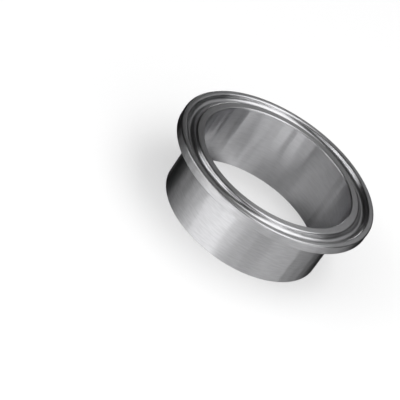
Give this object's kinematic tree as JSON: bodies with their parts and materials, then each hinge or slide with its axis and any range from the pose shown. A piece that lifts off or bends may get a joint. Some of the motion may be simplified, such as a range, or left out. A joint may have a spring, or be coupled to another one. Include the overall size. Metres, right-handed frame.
{
  "type": "pipe stub end",
  "caption": "Short thin-walled steel tube stub with a clamp flange, a flat sealing face and a gasket groove, welded to the end of a sanitary pipe.",
  "frame": {"origin": "centre of the weld end, on the surface that the stub stands on", "axes": "+Z along the axis of the bore, from the weld end to the sealing face"},
  "size_m": [0.064, 0.064, 0.0215],
  "materials": {
    "stainless": "satin turned"
  },
  "bodies": {
    "root": {"ferrule": "stainless"}
  },
  "joints": []
}
